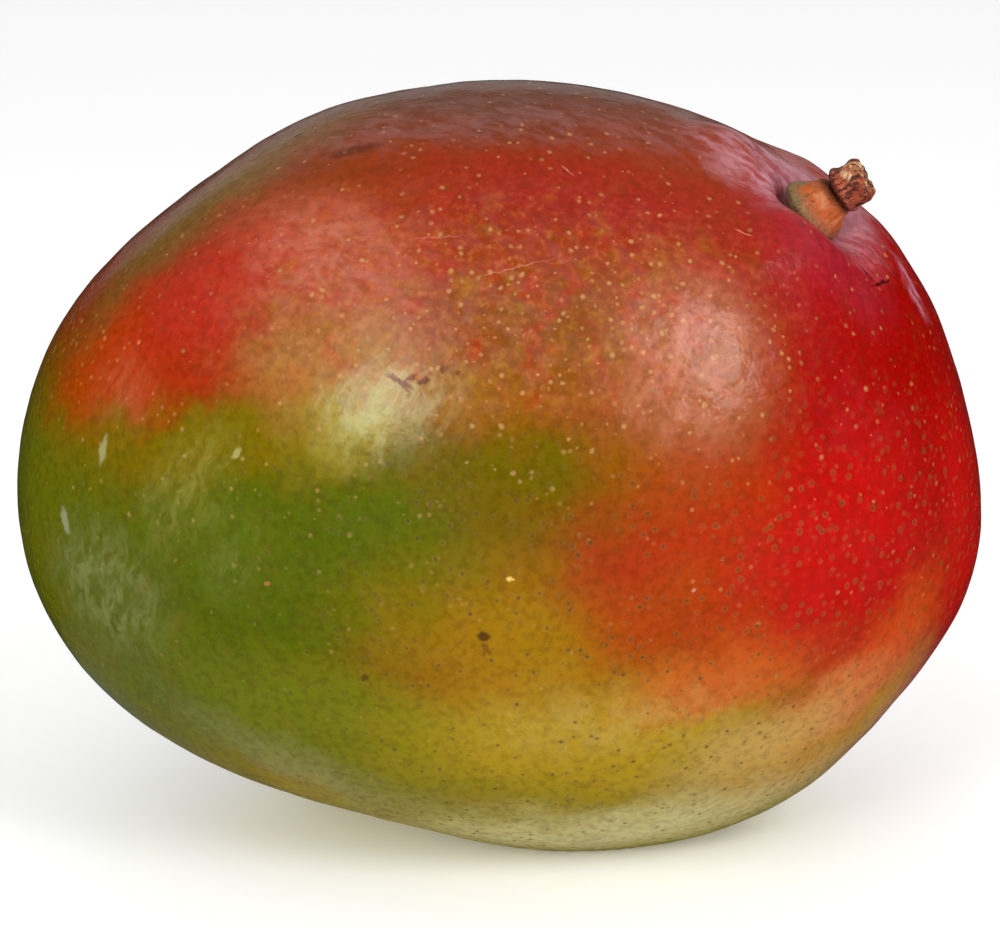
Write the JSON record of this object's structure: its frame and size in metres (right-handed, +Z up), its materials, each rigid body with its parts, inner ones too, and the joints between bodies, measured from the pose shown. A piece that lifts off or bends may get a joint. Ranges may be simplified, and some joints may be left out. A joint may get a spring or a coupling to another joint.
{
  "type": "mango",
  "caption": "Ripe mango lying on its side, plump kidney-oval body blushed red, orange and green, with a short broken stem in a shallow hollow.",
  "frame": {"origin": "bottom centre of the bounding box, on the plane of the resting spot", "axes": "+X along the fruit towards its stem end, +Y through its thickness away from the near cheek, +Z up"},
  "size_m": [0.127, 0.087, 0.0999],
  "materials": {
    "mango_skin": "waxy fruit skin, satin to glossy, crimson at the stem end through orange and ochre to green at the tip, with pale and dark lenticels",
    "stem_base": "swollen stem tissue, tan to orange and olive, slightly waxy",
    "stem_wood": "dry reddish-brown wood with dark cracks and a paler broken end"
  },
  "bodies": {
    "root": {"mango_fruit": "mango_skin", "stem_base": "stem_base", "stem_stub": "stem_wood"}
  },
  "joints": []
}
